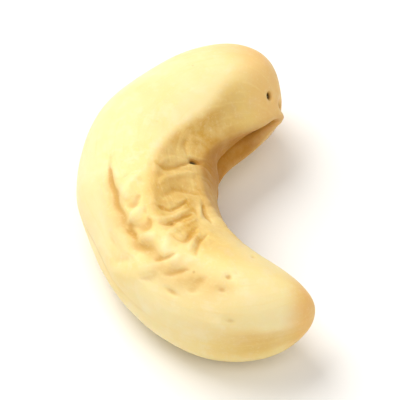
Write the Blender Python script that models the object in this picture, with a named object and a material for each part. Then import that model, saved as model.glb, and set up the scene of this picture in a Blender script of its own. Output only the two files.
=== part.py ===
"""A peeled cashew kernel that lies on one broad side.

It grew as one seed, so it is one solid: two seed leaves joined along a seam that runs all round, curved like a
comma, with a blunt end, a slim end, a cleft along the hollow side and many small folds in the bend.
+Z is up, the kernel lies on Z = 0, and its hollow side faces +X.
"""

import math

import bmesh
import bpy
import numpy as np

MM = 0.001

# Driving dimensions, in millimetres.
SEAM_HEIGHT = 4.55
PLAN_SHIFT = (-0.083, -0.459)

# The middle line from the blunt end to the slim end:
# x, y, half width in the plane of the curve, half thickness above the seam, half thickness below it.
STATIONS = (
    (6.35, 11.2, 3.6, 3.8, 3.8),
    (3.5, 10.2, 4.2, 4.2, 4.6),
    (0.45, 8.4, 4.8, 4.6, 4.5),
    (-2.15, 5.5, 5.2, 4.8, 4.4),
    (-3.28, 1.65, 5.38, 4.8, 4.58),
    (-2.7, -2.3, 4.9, 4.7, 4.5),
    (-1.2, -5.85, 4.75, 4.5, 4.35),
    (1.5, -8.55, 4.4, 4.2, 4.58),
    (5.0, -9.8, 3.95, 3.8, 4.9),
    (8.8, -10.3, 3.2, 3.3, 3.5),
)

# Each end closes over this length, by a power that says how square it closes.
BLUNT_LENGTH, BLUNT_POWER = 4.2, 2.6
SLIM_LENGTH, SLIM_POWER = 7.5, 2.1

# A section is a rounded box of these powers: fuller on the outer side, flatter on the slope to the hollow side.
OUTER_POWER = 2.1
SLOPE_POWER = 1.9

# Where things lie on the skin: a length run from the blunt end in millimetres, and a turn round the section in
# degrees, which is 0 on the outer side, 90 on top, 180 on the hollow side and 270 below.
# The crest is where the slope to the hollow side begins, and the lip is where the cleft begins.
CREST = ((0, 92), (3.6, 96), (6, 113), (8, 120), (10, 118), (12.5, 110), (16, 93), (18, 86), (21, 75), (24, 80),
         (28, 95), (34.2, 105))
LIP = ((0, 174), (3, 166), (8, 154), (12, 145), (15, 138), (20, 143), (24, 145), (28, 154), (34.2, 171))
# Below the seam the lip lies this much nearer to it, and wavers by this much, in degrees and waves per millimetre.
LOWER_LIP_SHIFT, LOWER_LIP_WAVER, LOWER_LIP_WAVES = 7, 4, 0.13
# Each table's value is the average over places this far before and after, in millimetres, so that no corner shows.
ROUNDING = (-1.2, -0.6, 0.0, 0.6, 1.2)
# How much of the bulge between crest and lip is planed off along the kernel, and how softly it begins at the crest.
PLANED = ((0, 0), (2, 0.2), (4.5, 0.6), (8, 0.95), (14, 0.95), (21.5, 0.85), (26.5, 0.15), (34.2, 0.05))
CREST_SOFTNESS = ((0, 0.7), (7, 0.6), (12, 0.45), (15, 0.4), (18, 0.15), (21, 0.15), (26, 0.35), (34.2, 0.4))
# The flatter wall on the outer side of the slim arm: how much is planed off, and the turn of its upper edge.
WALL = ((0, 0), (23.5, 0), (28, 0.35), (32, 0.35), (34.2, 0))
WALL_EDGE = 24
# The hollow between the lips is a round trough of this depth.
CLEFT_DEPTH = ((0, 0.1), (1.5, 0.55), (4.5, 0.85), (10, 0.7), (14, 0.1), (19, 0.05), (23, 0.35), (32, 0.3), (34.2, 0))
LIP_SHARPNESS = 6.0
# The seam line, which wanders up and down along the kernel and comes and goes.
SEAM_DEPTH, SEAM_HALF_WIDTH = 0.07, 0.28
SEAM_WANDER, SEAM_WAVES = 0.16, 0.7
SEAM_COMES = 0.45
# In the hollow the two seed leaves part in a deeper groove, and on the outer side they dip softly towards each other.
GROOVE_DEPTH, GROOVE_HALF_WIDTH = 0.38, 0.42
DIP_DEPTH, DIP_HALF_WIDTH = 0.10, 1.2

# Creases on the upper side: half width, depth, and the places they run through.
CREASES = (
    (0.28, 0.08, ((15.1, 60), (16.2, 59), (17.2, 57))),
    (0.50, 0.29, ((16.0, 58), (17.6, 54), (19.4, 51), (21.4, 53))),
    (0.46, 0.26, ((20.4, 54), (20.9, 60), (21.1, 67), (20.9, 76))),
    (0.48, 0.26, ((20.8, 51), (22.0, 53), (22.8, 56), (23.4, 63))),
    (0.40, 0.18, ((19.0, 58), (19.2, 67), (18.9, 77))),
    (0.30, 0.08, ((15.9, 93), (18.0, 87), (19.6, 79), (20.9, 73))),
    (0.30, 0.15, ((16.3, 95), (16.6, 105), (16.2, 118), (15.2, 134))),
    (0.42, 0.16, ((19.6, 92), (18.8, 107), (18.5, 121), (18.9, 135))),
    (0.19, 0.17, ((20.1, 84), (20.6, 92), (20.5, 102), (19.8, 120))),
    (0.20, 0.17, ((21.5, 81), (22.0, 88), (21.8, 100), (21.3, 117))),
    (0.28, 0.18, ((22.9, 83), (23.8, 88), (23.6, 97), (23.0, 110))),
    (0.20, 0.14, ((25.2, 82), (24.8, 94), (24.3, 112))),
    (0.22, 0.14, ((20.0, 137), (21.4, 133), (22.9, 130))),
    (0.20, 0.15, ((23.5, 55), (23.8, 62), (24.0, 71))),
    (0.20, 0.12, ((24.5, 51), (24.9, 59), (25.3, 66))),
    (0.27, 0.10, ((23.2, 30), (23.9, 38), (24.3, 48))),
    (0.26, 0.12, ((26.3, 48), (26.2, 59), (26.4, 69))),
    (0.42, 0.10, ((20.9, 20), (21.9, 31), (22.5, 43))),
    (0.22, 0.08, ((12.6, 126), (13.6, 121), (14.9, 123))),
)

# Folds that stand up between the creases: half width, height, and the places they run through.
FOLDS = (
    (0.24, 0.08, ((16.4, 101), (15.4, 114))),
    (0.34, 0.16, ((18.2, 92), (17.5, 106), (17.2, 118), (16.7, 133))),
    (0.18, 0.11, ((19.9, 103), (19.7, 114), (19.3, 123))),
    (0.23, 0.15, ((20.8, 76), (21.3, 86), (21.4, 97), (20.6, 120))),
    (0.24, 0.17, ((22.6, 79), (22.6, 90), (22.4, 104), (21.9, 118))),
    (0.21, 0.14, ((24.6, 82), (24.3, 93), (23.9, 104))),
    (0.19, 0.12, ((19.5, 133), (20.6, 130), (21.9, 123))),
    (0.52, 0.26, ((18.5, 62), (18.1, 69), (17.6, 78))),
    (0.38, 0.23, ((20.2, 57), (20.1, 65), (19.9, 74))),
    (0.42, 0.25, ((21.8, 56), (21.9, 63), (22.1, 72))),
    (0.55, 0.12, ((16.8, 44), (18.6, 41), (20.4, 41), (22.0, 44))),
    (0.42, 0.17, ((22.3, 79), (23.2, 71), (23.7, 62))),
    (0.22, 0.11, ((24.3, 60), (24.3, 68), (24.4, 74))),
    (0.42, 0.16, ((21.3, 8), (22.6, 30), (23.2, 44), (23.9, 56))),
    (0.26, 0.07, ((13.2, 124), (12.0, 130), (11.4, 138))),
)

# Dents: radius, depth, length run, turn.
DENTS = (
    (0.28, 0.55, 1.4, 139),
    (0.50, 0.42, 0.50, 168),
    (0.48, 0.52, 15.1, 134),
    (0.24, 0.12, 25.2, 40),
    (0.24, 0.14, 27.8, 77),
    (0.22, 0.11, 27.7, 62),
    (0.26, 0.08, 28.6, 32),
    (0.24, 0.08, 28.8, 119),
    (0.36, 0.09, 20.5, 34),
    (0.40, 0.10, 9.0, 252),
    (0.36, 0.12, 26.8, 292),
    (0.42, 0.10, 30.1, 262),
)

# Small round bumps: radius, height, length run, turn.
BUMPS = (
    (0.30, 0.10, 27.9, 26),
    (0.50, 0.12, 0.5, 132),
    (0.26, 0.07, 24.0, 118),
    (1.00, 0.16, 1.3, 176),
)

# The tip of the root germ, where the seam meets the hollow corner of the blunt end: radius, height, place.
NIB_RADIUS, NIB_HEIGHT, NIB_RUN, NIB_TURN = 0.52, 0.42, 1.0, 177

# Each stroke is drawn in this many steps and thins out to this share at its ends.
STROKE_STEPS = 10
STROKE_END = 0.25
# The narrowest half width that the faces can hold: finer strokes and spots are made this wide and so much shallower.
FINEST = 0.36
# What shifts the strokes to and fro: millimetres, then waves per millimetre along x, y and z, and a phase.
SWAYS = (
    (0.13, 0.17, 0.14, 0.12, 0.3),
    (0.06, -0.33, 0.28, 0.22, 2.1),
    (0.025, 0.55, 0.61, -0.50, 4.4),
)

# The lower side has its own folds in the same bend, laid by a rule: the length run of the first and the step to the
# next, then the least and the most of where each starts and ends, its slant, its half width and its height.
LOWER_FOLDS = 12
LOWER_FIRST, LOWER_STEP = 14.6, 0.92
LOWER_START, LOWER_END = (268, 290), (228, 248)
LOWER_SLANT = (-0.7, 0.2)
LOWER_HALF_WIDTH, LOWER_HEIGHT = (0.26, 0.38), (0.11, 0.2)
LOWER_SEED = 5
LOWER_CREASE = (0.40, 0.24, ((16.4, 303), (18.2, 306), (20.1, 305), (22.3, 297)))

# Gentle unevenness of the whole skin: height, then waves per millimetre along x, y and z, and a phase.
UNEVENNESS = (
    (0.05, 0.11, 0.07, 0.05, 0.4),
    (0.04, -0.06, 0.13, 0.10, 1.9),
    (0.03, 0.16, -0.12, 0.14, 3.3),
)

# The mesh: rings along the kernel, points round each ring, and the share of the faces that stays.
RINGS = 190
RING_POINTS = 128
TABLE_STEPS = 1201
KEPT_SHARE = 0.235

# The block that cuts the three low points flat where the kernel lies.
CUTTER_SIDE, CUTTER_DEPTH = 40.0, 5.0

KERNEL_COLOUR = (0.896, 0.701, 0.328, 1.0)
KERNEL_ROUGHNESS = 0.55


def natural_spline(knots, values, places):
    """Reads a natural cubic spline through the values, one column for each coordinate."""
    gaps = np.diff(knots)
    slopes = np.diff(values, axis=0) / gaps[:, None]
    count = len(knots)
    matrix = np.eye(count)
    right = np.zeros_like(values)
    for i in range(1, count - 1):
        matrix[i, i - 1 : i + 2] = gaps[i - 1], 2 * (gaps[i - 1] + gaps[i]), gaps[i]
        right[i] = 6 * (slopes[i] - slopes[i - 1])
    second = np.linalg.solve(matrix, right)
    i = np.clip(np.searchsorted(knots, places, side="right") - 1, 0, count - 2)
    gap = gaps[i][:, None]
    t = (places - knots[i])[:, None] / gap
    bend = ((1 - t) ** 3 - (1 - t)) * second[i] + (t**3 - t) * second[i + 1]
    return (1 - t) * values[i] + t * values[i + 1] + gap**2 / 6 * bend


def closing(distance, length, power):
    """The share of full thickness at a distance from an end."""
    t = np.clip(1 - distance / length, 0, 1)
    return (1 - t**power) ** (1 / power)


def middle_line():
    """Tables the middle line: length run, length over the outline, place, outward direction, bend and sizes."""
    stations = np.array(STATIONS)
    chords = np.hypot(*np.diff(stations[:, :2], axis=0).T)
    knots = np.concatenate(([0.0], np.cumsum(chords)))
    table = natural_spline(knots, stations, np.linspace(0, knots[-1], TABLE_STEPS))
    run = np.concatenate(([0.0], np.cumsum(np.hypot(*np.diff(table[:, :2], axis=0).T))))
    along = np.gradient(table[:, :2], run, axis=0)
    heading = np.unwrap(np.arctan2(along[:, 1], along[:, 0]))
    share = closing(run, BLUNT_LENGTH, BLUNT_POWER) * closing(run[-1] - run, SLIM_LENGTH, SLIM_POWER)
    outline = np.cumsum(np.hypot(np.diff(run), np.diff(share * table[:, 2])))
    return {
        "run": run,
        "outline": np.concatenate(([0.0], outline)),
        "x": table[:, 0],
        "y": table[:, 1],
        "out_x": np.sin(heading),
        "out_y": -np.cos(heading),
        "bend": np.gradient(heading, run),
        "width": table[:, 2],
        "top": table[:, 3],
        "bottom": table[:, 4],
        "share": share,
    }


def smooth(low, high, value):
    """Rises smoothly from 0 at low to 1 at high."""
    t = np.clip((value - low) / (high - low), 0, 1)
    return t * t * (3 - 2 * t)


def skin(line, run, turn):
    """Places on the plain skin, before its folds, at lengths run (mm) and turns round the section (radians).

    The turn is 0 on the outer side, a quarter on top and a half on the hollow side.
    """
    at = {name: np.interp(run, line["run"], line[name])[:, None] for name in line}
    cos, sin = np.cos(turn)[None, :], np.sin(turn)[None, :]
    power = 2 / (SLOPE_POWER + (OUTER_POWER - SLOPE_POWER) * smooth(-0.35, 0.35, cos))
    out = at["width"] * at["share"] * np.sign(cos) * np.abs(cos) ** power
    half = np.where(sin > 0, at["top"], at["bottom"])
    up = half * at["share"] * np.sign(sin) * np.abs(sin) ** power
    points = np.stack(
        (at["x"] + at["out_x"] * out, at["y"] + at["out_y"] * out, SEAM_HEIGHT + up), axis=-1
    )
    place = {
        "line": line,
        "run": at["run"] + 0 * up,
        "outline": at["outline"] + 0 * up,
        "turn": turn[None, :] + 0 * up,
        "side": out / at["width"],
        "rise": up,
        "stretch": 1 - at["bend"] * out,
        "round": np.sqrt(at["width"] * half) * at["share"],
    }
    return points, place


def ring_runs(line, rings):
    """Lengths run of the rings, evenly spaced over the outline of the kernel, ends included."""
    return np.interp(np.linspace(0, line["outline"][-1], rings + 1), line["outline"], line["run"])


def listed(table, run):
    """Reads a table of lengths run and values, rounded off at its entries."""
    runs, values = np.array(table, dtype=float).T
    return sum(np.interp(run + shift, runs, values) for shift in ROUNDING) / len(ROUNDING)


def lip_turns(place):
    """The turn of the lip, measured from the outer side, above the seam and below it."""
    wavers = LOWER_LIP_SHIFT + LOWER_LIP_WAVER * np.sin(2 * math.pi * LOWER_LIP_WAVES * place["run"])
    return np.radians(listed(LIP, place["run"]) + np.where(place["turn"] > math.pi, wavers, 0))


def distance(place, here):
    """Distances over the skin, in millimetres, from one place: lengthwise and crosswise."""
    run, turn = here
    along = place["outline"] - np.interp(run, place["line"]["run"], place["line"]["outline"])
    across = (place["turn"] - math.radians(turn) + math.pi) % (2 * math.pi) - math.pi
    return along * place["stretch"], across * place["round"]


def swayed(points, place):
    """The same places shifted a little to and fro over the skin, so that no fold runs quite straight."""
    along = np.zeros_like(place["run"])
    across = np.zeros_like(along)
    for size, wave_x, wave_y, wave_z, phase in SWAYS:
        waves = 2 * math.pi * (points @ np.array((wave_x, wave_y, wave_z))) + phase
        along += size * np.sin(waves)
        across += size * np.cos(1.3 * waves)
    reach = np.maximum(place["round"], 1.0)
    return dict(place, outline=place["outline"] + along, turn=place["turn"] + across / reach)


def stroke(place, half_width, height, path):
    """A raised line through the places of a path, which thins out and dies away towards both ends."""
    shares = np.linspace(0, 1, STROKE_STEPS + 1)
    curve = natural_spline(np.linspace(0, 1, len(path)), np.array(path, dtype=float), shares)
    nearest = np.full(place["run"].shape, np.inf)
    share = np.zeros_like(nearest)
    for i, (start, end) in enumerate(zip(curve, curve[1:])):
        along, across = distance(place, start)
        step_along = along - distance(place, end)[0]
        step_across = math.radians(end[1] - start[1]) * place["round"]
        square = np.maximum(step_along**2 + step_across**2, 1e-9)
        t = np.clip((along * step_along + across * step_across) / square, 0, 1)
        gap = np.hypot(along - t * step_along, across - t * step_across)
        share = np.where(gap < nearest, (i + t) / STROKE_STEPS, share)
        nearest = np.minimum(nearest, gap)
    fullness = STROKE_END + (1 - STROKE_END) * np.sqrt(4 * share * (1 - share))
    held = max(half_width, FINEST)
    return height * half_width / held * fullness * np.exp(-((nearest / (held * fullness)) ** 2))


def spot(place, radius, height, run, turn):
    """A round bump, or a dent where the height is negative."""
    held = max(radius, FINEST)
    away = np.hypot(*distance(place, (run, turn)))
    return height * radius / held * np.exp(-((away / held) ** 2))


def planed_slopes(place):
    """Takes the bulge off between crest and lip, which leaves a flatter slope with an edge at each side."""
    crest = np.radians(listed(CREST, place["run"]))
    lip = lip_turns(place)
    above = np.minimum(place["turn"], 2 * math.pi - place["turn"])
    middle, half = (crest + lip) / 2, (lip - crest) / 2
    bulge = 1 - np.cos(half) / np.cos(np.minimum(np.abs(above - middle), half))
    softness = listed(CREST_SOFTNESS, place["run"])
    across = (above - crest) / (lip - crest)
    slope = listed(PLANED, place["run"]) * bulge * smooth(0, softness, across) * smooth(1.02, 0.85, across)
    edge = math.radians(WALL_EDGE)
    flat = 1 - math.cos(edge) / np.cos(np.minimum(above, edge))
    wall = listed(WALL, place["run"]) * flat * smooth(1, 0.5, above / edge)
    return -(slope + wall) * place["round"]


def seam(place):
    """The hollow between the lips, and the fine seam between the two seed leaves all round."""
    off = np.minimum(np.abs(place["turn"] - math.pi) / (math.pi - np.minimum(lip_turns(place), 3.05)), 2)
    trough = np.log1p(np.exp(LIP_SHARPNESS * (1 - off**2))) / LIP_SHARPNESS
    hollow = smooth(0.0, -0.35, place["side"])
    past_nib = smooth(NIB_RUN - 0.5, NIB_RUN + 0.9, place["run"])
    cleft = listed(CLEFT_DEPTH, place["run"]) * trough * hollow * past_nib
    wander = SEAM_WANDER * np.sin(SEAM_WAVES * place["run"])
    comes = 1 - SEAM_COMES + SEAM_COMES * np.sin(0.37 * place["run"] + 0.8)
    ends = smooth(0.3, 2.0, place["run"]) * smooth(34.0, 32.0, place["run"])
    away = place["rise"] - wander
    line = SEAM_DEPTH * comes * ends * np.exp(-((away / SEAM_HALF_WIDTH) ** 2))
    groove = GROOVE_DEPTH * hollow * ends * past_nib * np.exp(-((away / GROOVE_HALF_WIDTH) ** 2))
    dip = DIP_DEPTH * smooth(0.2, 0.8, place["side"]) * ends * np.exp(-((away / DIP_HALF_WIDTH) ** 2))
    return -cleft - line - groove - dip


def lower_folds(place):
    """Creases and folds in turn across the lower slope of the bend, and one long crease outside them."""
    draw = np.random.default_rng(LOWER_SEED)
    half_width, depth, path = LOWER_CREASE
    height = -stroke(place, half_width, depth, path)
    for i in range(LOWER_FOLDS):
        run = LOWER_FIRST + i * LOWER_STEP
        start = (run, draw.uniform(*LOWER_START))
        end = (run + draw.uniform(*LOWER_SLANT), draw.uniform(*LOWER_END))
        up_or_down = -1 if i % 2 else 1
        size = up_or_down * draw.uniform(*LOWER_HEIGHT)
        height += stroke(place, draw.uniform(*LOWER_HALF_WIDTH), size, (start, end))
    return height


def relief(points, place):
    """How far the skin stands out from its plain form, in millimetres."""
    moved = swayed(points, place)
    height = planed_slopes(place) + seam(place) + lower_folds(moved)
    for half_width, depth, path in CREASES:
        height -= stroke(moved, half_width, depth, path)
    for half_width, rise, path in FOLDS:
        height += stroke(moved, half_width, rise, path)
    for radius, depth, run, turn in DENTS:
        height -= spot(place, radius, depth, run, turn)
    for radius, rise, run, turn in BUMPS:
        height += spot(place, radius, rise, run, turn)
    height += spot(place, NIB_RADIUS, NIB_HEIGHT, NIB_RUN, NIB_TURN)
    for size, wave_x, wave_y, wave_z, phase in UNEVENNESS:
        waves = points @ np.array((wave_x, wave_y, wave_z))
        height += size * np.sin(2 * math.pi * waves + phase)
    return height


def outward(points):
    """Directions that point out of the skin at each place of the grid."""
    along = np.gradient(points, axis=0)
    across = np.roll(points, -1, axis=1) - np.roll(points, 1, axis=1)
    normal = np.cross(along, across)
    normal[0] = normal[1].mean(axis=0)
    normal[-1] = normal[-2].mean(axis=0)
    return normal / np.linalg.norm(normal, axis=-1, keepdims=True)


def kernel_grid(rings, ring_points):
    """The skin as a grid of places in millimetres: its first and last rows are the two ends."""
    line = middle_line()
    turns = np.linspace(0, 2 * math.pi, ring_points, endpoint=False)
    points, place = skin(line, ring_runs(line, rings), turns)
    height = relief(points, place)
    height[[0, -1]] = height[[0, -1]].mean(axis=1, keepdims=True)
    points = points + outward(points) * height[..., None]
    points[..., :2] += PLAN_SHIFT
    return points


def closed_mesh(name, points):
    """Skins a grid whose first and last rows have shrunk to one point each."""
    count = points.shape[1]
    shape = bmesh.new()
    first = shape.verts.new(points[0, 0] * MM)
    rings = [[shape.verts.new(point * MM) for point in row] for row in points[1:-1]]
    last = shape.verts.new(points[-1, 0] * MM)
    for i in range(count):
        k = (i + 1) % count
        shape.faces.new((first, rings[0][i], rings[0][k]))
        for near, far in zip(rings, rings[1:]):
            shape.faces.new((near[i], far[i], far[k], near[k]))
        shape.faces.new((last, rings[-1][k], rings[-1][i]))
    mesh = bpy.data.meshes.new(name)
    shape.to_mesh(mesh)
    shape.free()
    mesh.shade_smooth()
    return mesh


def kernel_material():
    material = bpy.data.materials.new("kernel_flesh")
    material.use_nodes = True
    shader = material.node_tree.nodes["Principled BSDF"]
    shader.inputs["Base Color"].default_value = KERNEL_COLOUR
    shader.inputs["Roughness"].default_value = KERNEL_ROUGHNESS
    shader.inputs["Metallic"].default_value = 0.0
    return material


def surface_cutter():
    """A block under the plane that the kernel lies on."""
    shape = bmesh.new()
    bmesh.ops.create_cube(shape, size=1)
    bmesh.ops.scale(shape, verts=shape.verts, vec=(CUTTER_SIDE * MM, CUTTER_SIDE * MM, CUTTER_DEPTH * MM))
    mesh = bpy.data.meshes.new("surface_cutter")
    shape.to_mesh(mesh)
    shape.free()
    cutter = bpy.data.objects.new("surface_cutter", mesh)
    cutter.location.z = -CUTTER_DEPTH / 2 * MM
    cutter.hide_render = True
    cutter.display_type = "WIRE"
    bpy.context.scene.collection.objects.link(cutter)
    return cutter


def kernel():
    thing = bpy.data.objects.new("kernel", closed_mesh("kernel", kernel_grid(RINGS, RING_POINTS)))
    bpy.context.scene.collection.objects.link(thing)
    thing.data.materials.append(kernel_material())
    fewer = thing.modifiers.new("Fewer faces", "DECIMATE")
    fewer.ratio = KEPT_SHARE
    flats = thing.modifiers.new("Three flats", "BOOLEAN")
    flats.operation = "DIFFERENCE"
    flats.solver = "EXACT"
    flats.object = surface_cutter()


def main():
    for thing in list(bpy.data.objects):
        bpy.data.objects.remove(thing)
    kernel()


if __name__ == "__main__":
    main()
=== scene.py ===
"""The looks of a peeled cashew kernel: its fine skin, its flesh, a pale floor, soft light and the camera.

The skin repeats the construction's formulas on a finer grid, in millimetres, and adds the small wrinkles and
grain that the solid is too coarse to hold. It is then fitted into the solid's box.
"""

import math

import bpy
import numpy as np
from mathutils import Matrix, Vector, noise


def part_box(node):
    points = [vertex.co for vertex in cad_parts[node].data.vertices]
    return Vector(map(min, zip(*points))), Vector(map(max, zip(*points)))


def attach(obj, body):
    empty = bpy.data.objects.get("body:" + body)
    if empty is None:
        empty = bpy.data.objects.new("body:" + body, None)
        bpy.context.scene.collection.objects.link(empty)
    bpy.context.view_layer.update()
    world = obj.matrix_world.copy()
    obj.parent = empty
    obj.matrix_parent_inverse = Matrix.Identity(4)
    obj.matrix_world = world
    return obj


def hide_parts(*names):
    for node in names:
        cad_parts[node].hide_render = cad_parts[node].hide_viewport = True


MM = 0.001

# Driving dimensions, in millimetres.
SEAM_HEIGHT = 4.55
PLAN_SHIFT = (-0.083, -0.459)

# The middle line from the blunt end to the slim end:
# x, y, half width in the plane of the curve, half thickness above the seam, half thickness below it.
STATIONS = (
    (6.35, 11.2, 3.6, 3.8, 3.8),
    (3.5, 10.2, 4.2, 4.2, 4.6),
    (0.45, 8.4, 4.8, 4.6, 4.5),
    (-2.15, 5.5, 5.2, 4.8, 4.4),
    (-3.28, 1.65, 5.38, 4.8, 4.58),
    (-2.7, -2.3, 4.9, 4.7, 4.5),
    (-1.2, -5.85, 4.75, 4.5, 4.35),
    (1.5, -8.55, 4.4, 4.2, 4.58),
    (5.0, -9.8, 3.95, 3.8, 4.9),
    (8.8, -10.3, 3.2, 3.3, 3.5),
)

# Each end closes over this length, by a power that says how square it closes.
BLUNT_LENGTH, BLUNT_POWER = 4.2, 2.6
SLIM_LENGTH, SLIM_POWER = 7.5, 2.1

# A section is a rounded box of these powers: fuller on the outer side, and flatter on the slope to the hollow
# side.
OUTER_POWER = 2.1
SLOPE_POWER = 1.9
# The one gives way to the other between these cosines of the turn.
POWER_CHANGE = (-0.35, 0.35)

# Where things lie on the skin: a length run from the blunt end in millimetres, and a turn round the section
# in degrees, which is 0 on the outer side, 90 on top, 180 on the hollow side and 270 below.
# The crest is where the slope to the hollow side begins, and the lip is where the cleft begins.
CREST = ((0, 92), (3.6, 96), (6, 113), (8, 120), (10, 118), (12.5, 110), (16, 93), (18, 86), (21, 75),
         (24, 80), (28, 95), (34.2, 105))
LIP = ((0, 174), (3, 166), (8, 154), (12, 145), (15, 138), (20, 143), (24, 145), (28, 154), (34.2, 171))
# Below the seam the lip lies this much nearer to it, and wavers by this much, in degrees and waves per
# millimetre.
LOWER_LIP_SHIFT, LOWER_LIP_WAVER, LOWER_LIP_WAVES = 7, 4, 0.13
# Each table's value is the average over places this far before and after, in millimetres, so that no corner
# shows.
ROUNDING = (-1.2, -0.6, 0.0, 0.6, 1.2)
# How much of the bulge between crest and lip is planed off along the kernel, and how softly it begins at the
# crest.
PLANED = ((0, 0), (2, 0.2), (4.5, 0.6), (8, 0.95), (14, 0.95), (21.5, 0.85), (26.5, 0.15), (34.2, 0.05))
CREST_SOFTNESS = ((0, 0.7), (7, 0.6), (12, 0.45), (15, 0.4), (18, 0.15), (21, 0.15), (26, 0.35),
                  (34.2, 0.4))
# The planing fades out at the lip, between these shares of the way from crest to lip.
PLANED_FADE = (1.02, 0.85)
# The flatter wall on the outer side of the slim arm: how much is planed off, its upper edge's turn, and the
# shares of that turn between which it fades in.
WALL = ((0, 0), (23.5, 0), (28, 0.35), (32, 0.35), (34.2, 0))
WALL_EDGE, WALL_FADE = 24, (1, 0.5)
# The hollow between the lips is a round trough of this depth. It begins and is full at these shares of the
# half width, and these lengths past the nib. Its lip is never nearer to the seam than this turn, in radians.
CLEFT_DEPTH = ((0, 0.1), (1.5, 0.55), (4.5, 0.85), (10, 0.7), (14, 0.1), (19, 0.05), (23, 0.35), (32, 0.3),
               (34.2, 0))
LIP_SHARPNESS = 12.0
HOLLOW_SIDE, PAST_NIB, LIP_LIMIT = (0.0, -0.35), (-0.5, 0.9), 3.05
# The seam line, which wanders up and down along the kernel and comes and goes: millimetres, and radians of
# a wave per millimetre and at its start. It begins and is full at these lengths run, at either end.
SEAM_DEPTH, SEAM_HALF_WIDTH = 0.07, 0.28
SEAM_WANDER, SEAM_WAVES = 0.16, 0.7
SEAM_COMES, SEAM_COMES_WAVES, SEAM_COMES_PHASE = 0.45, 0.37, 0.8
SEAM_BLUNT_END, SEAM_SLIM_END = (0.3, 2.0), (34.0, 32.0)
# In the hollow the two seed leaves part in a deeper groove, and on the outer side they dip softly towards
# each other.
GROOVE_DEPTH, GROOVE_HALF_WIDTH = 0.38, 0.42
DIP_DEPTH, DIP_HALF_WIDTH, DIP_SIDE = 0.10, 1.2, (0.2, 0.8)

# Creases on the upper side: half width, depth, and the places they run through.
CREASES = (
    (0.28, 0.08, ((15.1, 60), (16.2, 59), (17.2, 57))),
    (0.50, 0.29, ((16.0, 58), (17.6, 54), (19.4, 51), (21.4, 53))),
    (0.46, 0.26, ((20.4, 54), (20.9, 60), (21.1, 67), (20.9, 76))),
    (0.48, 0.26, ((20.8, 51), (22.0, 53), (22.8, 56), (23.4, 63))),
    (0.40, 0.18, ((19.0, 58), (19.2, 67), (18.9, 77))),
    (0.30, 0.08, ((15.9, 93), (18.0, 87), (19.6, 79), (20.9, 73))),
    (0.30, 0.15, ((16.3, 95), (16.6, 105), (16.2, 118), (15.2, 134))),
    (0.42, 0.16, ((19.6, 92), (18.8, 107), (18.5, 121), (18.9, 135))),
    (0.19, 0.17, ((20.1, 84), (20.6, 92), (20.5, 102), (19.8, 120))),
    (0.20, 0.17, ((21.5, 81), (22.0, 88), (21.8, 100), (21.3, 117))),
    (0.28, 0.18, ((22.9, 83), (23.8, 88), (23.6, 97), (23.0, 110))),
    (0.20, 0.14, ((25.2, 82), (24.8, 94), (24.3, 112))),
    (0.22, 0.14, ((20.0, 137), (21.4, 133), (22.9, 130))),
    (0.20, 0.15, ((23.5, 55), (23.8, 62), (24.0, 71))),
    (0.20, 0.12, ((24.5, 51), (24.9, 59), (25.3, 66))),
    (0.27, 0.10, ((23.2, 30), (23.9, 38), (24.3, 48))),
    (0.26, 0.12, ((26.3, 48), (26.2, 59), (26.4, 69))),
    (0.42, 0.10, ((20.9, 20), (21.9, 31), (22.5, 43))),
    (0.22, 0.08, ((12.6, 126), (13.6, 121), (14.9, 123))),
)

# Folds that stand up between the creases: half width, height, and the places they run through.
FOLDS = (
    (0.24, 0.08, ((16.4, 101), (15.4, 114))),
    (0.34, 0.16, ((18.2, 92), (17.5, 106), (17.2, 118), (16.7, 133))),
    (0.18, 0.11, ((19.9, 103), (19.7, 114), (19.3, 123))),
    (0.23, 0.15, ((20.8, 76), (21.3, 86), (21.4, 97), (20.6, 120))),
    (0.24, 0.17, ((22.6, 79), (22.6, 90), (22.4, 104), (21.9, 118))),
    (0.21, 0.14, ((24.6, 82), (24.3, 93), (23.9, 104))),
    (0.19, 0.12, ((19.5, 133), (20.6, 130), (21.9, 123))),
    (0.52, 0.26, ((18.5, 62), (18.1, 69), (17.6, 78))),
    (0.38, 0.23, ((20.2, 57), (20.1, 65), (19.9, 74))),
    (0.42, 0.25, ((21.8, 56), (21.9, 63), (22.1, 72))),
    (0.55, 0.12, ((16.8, 44), (18.6, 41), (20.4, 41), (22.0, 44))),
    (0.42, 0.17, ((22.3, 79), (23.2, 71), (23.7, 62))),
    (0.22, 0.11, ((24.3, 60), (24.3, 68), (24.4, 74))),
    (0.42, 0.16, ((21.3, 8), (22.6, 30), (23.2, 44), (23.9, 56))),
    (0.26, 0.07, ((13.2, 124), (12.0, 130), (11.4, 138))),
)

# Dents: radius, depth, length run, turn.
DENTS = (
    (0.28, 0.55, 1.4, 139),
    (0.50, 0.42, 0.50, 168),
    (0.48, 0.52, 15.1, 134),
    (0.24, 0.12, 25.2, 40),
    (0.24, 0.14, 27.8, 77),
    (0.22, 0.11, 27.7, 62),
    (0.26, 0.08, 28.6, 32),
    (0.24, 0.08, 28.8, 119),
    (0.36, 0.09, 20.5, 34),
    (0.40, 0.10, 9.0, 252),
    (0.36, 0.12, 26.8, 292),
    (0.42, 0.10, 30.1, 262),
)

# Small round bumps: radius, height, length run, turn.
BUMPS = (
    (0.30, 0.10, 27.9, 26),
    (0.50, 0.12, 0.5, 132),
    (0.26, 0.07, 24.0, 118),
    (1.00, 0.16, 1.3, 176),
)

# The tip of the root germ, where the seam meets the hollow corner of the blunt end: radius, height, place.
NIB_RADIUS, NIB_HEIGHT, NIB_RUN, NIB_TURN = 0.52, 0.42, 1.0, 177

# Each stroke is drawn in this many steps and thins out to this share at its ends.
STROKE_STEPS = 10
STROKE_END = 0.25
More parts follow.
